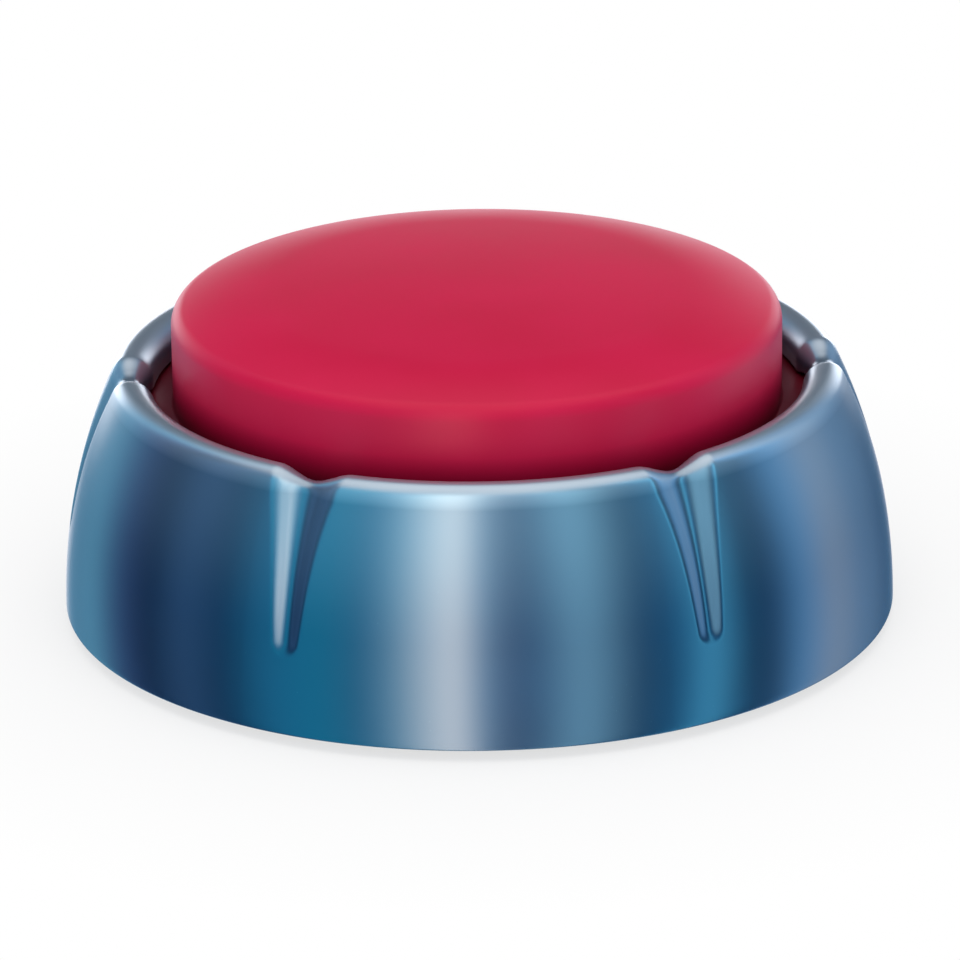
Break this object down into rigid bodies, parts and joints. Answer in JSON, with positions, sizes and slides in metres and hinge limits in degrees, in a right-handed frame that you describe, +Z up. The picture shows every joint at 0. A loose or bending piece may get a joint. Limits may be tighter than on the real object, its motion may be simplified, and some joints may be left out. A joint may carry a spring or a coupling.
{
  "type": "quiz buzzer",
  "caption": "Round table buzzer with a large crowned red push button in a blue fluted bowl-shaped housing, battery powered, with a loudspeaker grille underneath.",
  "frame": {"origin": "middle of the flat face that the feet stand on", "axes": "+Z up, along the button's axis; -Y is the front, the side over the loudspeaker; +X is the side of the battery door's screw"},
  "size_m": [0.095, 0.095, 0.0389],
  "materials": {
    "housing_lacquer": "blue pearl lacquer, satin gloss",
    "button_red": "satin moulded",
    "spring_steel": "bright drawn wire",
    "deck_plastic": "moulded, fine texture",
    "dome_silicone": "matt silicone",
    "board_mask": "solder mask",
    "chip_epoxy": "set epoxy drop",
    "part_body": "dipped",
    "screw_steel": "zinc plated",
    "basket_steel": "stamped, plated",
    "magnet_ferrite": "ground ferrite",
    "cone_paper": "pressed, black",
    "gasket_card": "die cut",
    "terminal_board": "phenolic board",
    "base_plastic": "moulded, spark-eroded texture",
    "cell_sleeve": "metallised film sleeve",
    "contact_nickel": "nickel plated",
    "ballast_steel": "sheared plate",
    "foot_rubber": "moulded",
    "lead_cover": "extruded"
  },
  "bodies": {
    "base": {"housing": "housing_lacquer", "return_spring_1": "spring_steel", "return_spring_2": "spring_steel", "return_spring_3": "spring_steel", "switch_deck": "deck_plastic", "rubber_dome": "dome_silicone", "circuit_board": "board_mask", "chip_blob": "chip_epoxy", "board_parts": "part_body", "board_screws": "screw_steel", "deck_screws": "screw_steel", "speaker_basket": "basket_steel", "speaker_magnet": "magnet_ferrite", "speaker_cone": "cone_paper", "speaker_gasket": "gasket_card", "speaker_terminals": "terminal_board", "speaker_screws": "screw_steel", "base_plate": "base_plastic", "battery_1": "cell_sleeve", "battery_2": "cell_sleeve", "contact_bridge": "contact_nickel", "contact_negative": "contact_nickel", "contact_positive": "contact_nickel", "ballast_left": "ballast_steel", "ballast_right": "ballast_steel", "rubber_foot_1": "foot_rubber", "rubber_foot_2": "foot_rubber", "rubber_foot_3": "foot_rubber", "rubber_foot_4": "foot_rubber", "base_screws": "screw_steel", "speaker_wires": "lead_cover", "battery_wires": "lead_cover"},
    "button": {"button_cap": "button_red"},
    "door": {"battery_door": "base_plastic", "door_screw": "screw_steel"}
  },
  "joints": [
    {"name": "button_press", "type": "slide", "parent": "base", "child": "button", "axis": [0, 0, -1], "range_m": [0, 0.0035], "stiffness_N_per_m": 1200, "springref_m": -0.002, "deforming": ["return_spring_1", "return_spring_2", "return_spring_3", "rubber_dome"]},
    {"name": "battery_door_tilt", "type": "hinge", "parent": "base", "child": "door", "pos_m": [-0.02485, 0.0095, 0.0024], "axis": [0, 1, 0], "range_deg": [0, 35]}
  ]
}
